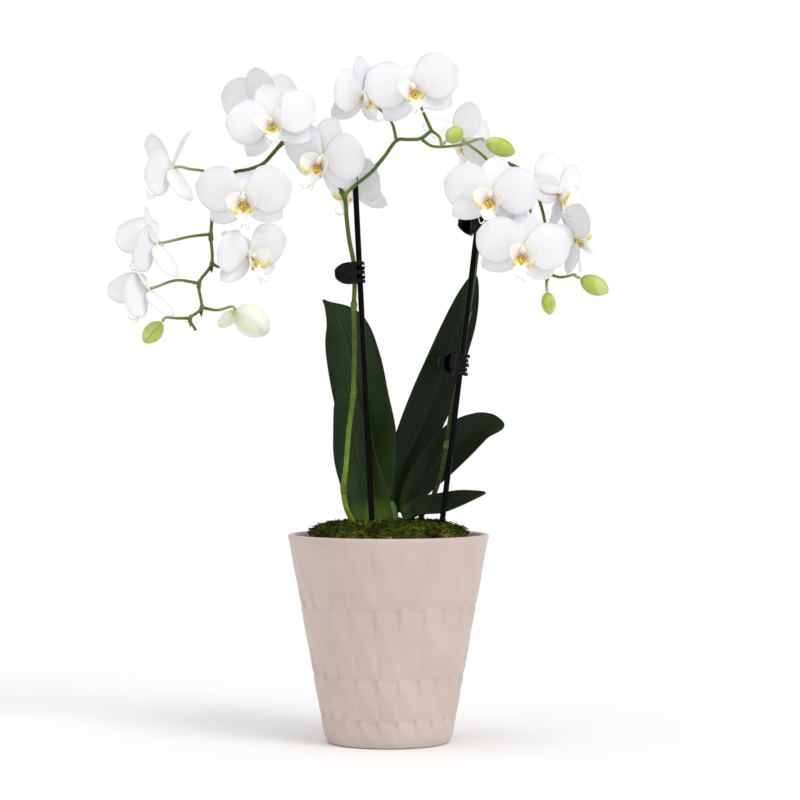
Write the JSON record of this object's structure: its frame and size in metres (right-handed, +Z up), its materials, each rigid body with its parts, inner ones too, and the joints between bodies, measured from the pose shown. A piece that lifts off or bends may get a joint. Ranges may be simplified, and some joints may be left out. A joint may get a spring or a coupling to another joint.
{
  "type": "potted orchid",
  "caption": "Moth orchid with white flowers on two staked arching spikes, strap leaves and moss, in a faceted ceramic cachepot.",
  "frame": {"origin": "centre of the pot's flat base, on the surface it stands on", "axes": "+Z up along the pot's axis, +X to the right and -Y towards the front of the plant"},
  "size_m": [0.3642, 0.1577, 0.5166],
  "materials": {
    "ceramic": "matt glazed earthenware, pale pinkish taupe",
    "nursery_plastic": "thin moulded black polypropylene",
    "bark": "chunks of conifer bark",
    "moss": "dried sphagnum and green moss",
    "stake_plastic": "extruded black stake, satin",
    "clip_plastic": "moulded black polycarbonate",
    "spring_steel": "blackened spring wire",
    "leaf": "fleshy dark green leaf, waxy satin",
    "leaf_base": "pale green sheath",
    "spike": "living green stem, satin",
    "petal": "white petal, matt with a faint sparkle",
    "bud": "pale yellow green bud, waxy"
  },
  "bodies": {
    "root": {"crown": "leaf_base", "left_spike": "spike", "right_spike": "spike", "cachepot": "ceramic", "nursery_pot": "nursery_plastic", "bark_medium": "bark", "moss_layer": "moss", "left_stake": "stake_plastic", "right_stake": "stake_plastic", "left_clip_rear_jaw": "clip_plastic", "left_clip_spring": "spring_steel", "middle_clip_rear_jaw": "clip_plastic", "middle_clip_spring": "spring_steel", "upper_clip_rear_jaw": "clip_plastic", "upper_clip_spring": "spring_steel", "leaf_tall_left": "leaf", "leaf_front_left": "leaf", "leaf_tall_right": "leaf", "leaf_mid_right": "leaf", "leaf_low_right": "leaf", "leaf_back": "leaf", "cascade_flower_1": "petal", "cascade_flower_2": "petal", "cascade_flower_3": "petal", "cascade_flower_4": "petal", "cascade_flower_5": "petal", "cascade_flower_6": "petal", "cascade_flower_7": "petal", "cascade_flower_8": "petal", "crest_flower_1": "petal", "crest_flower_2": "petal", "crest_flower_3": "petal", "right_flower_1": "petal", "right_flower_2": "petal", "right_flower_3": "petal", "right_flower_4": "petal", "right_flower_5": "petal", "opening_bud": "bud", "cascade_bud": "bud", "crest_bud_1": "bud", "crest_bud_2": "bud", "right_bud_1": "bud", "right_bud_2": "bud"},
    "left_clip_jaw": {"left_clip_front_jaw": "clip_plastic"},
    "middle_clip_jaw": {"middle_clip_front_jaw": "clip_plastic"},
    "upper_clip_jaw": {"upper_clip_front_jaw": "clip_plastic"}
  },
  "joints": [
    {"name": "left_clip_hinge", "type": "hinge", "parent": "root", "child": "left_clip_jaw", "pos_m": [-0.03138, -0.01146, 0.3486], "axis": [0.0495, -0.0381, -0.998], "range_deg": [0, 30], "stiffness_Nm_per_rad": 0.003, "springref_deg": -34.38},
    {"name": "middle_clip_hinge", "type": "hinge", "parent": "root", "child": "middle_clip_jaw", "pos_m": [0.04772, -0.01493, 0.28182], "axis": [-0.1191, -0.0176, -0.9927], "range_deg": [0, 30], "stiffness_Nm_per_rad": 0.003, "springref_deg": -34.38},
    {"name": "upper_clip_hinge", "type": "hinge", "parent": "root", "child": "upper_clip_jaw", "pos_m": [0.06216, -0.0144, 0.38472], "axis": [-0.1191, -0.0176, -0.9927], "range_deg": [0, 30], "stiffness_Nm_per_rad": 0.003, "springref_deg": -34.38}
  ]
}
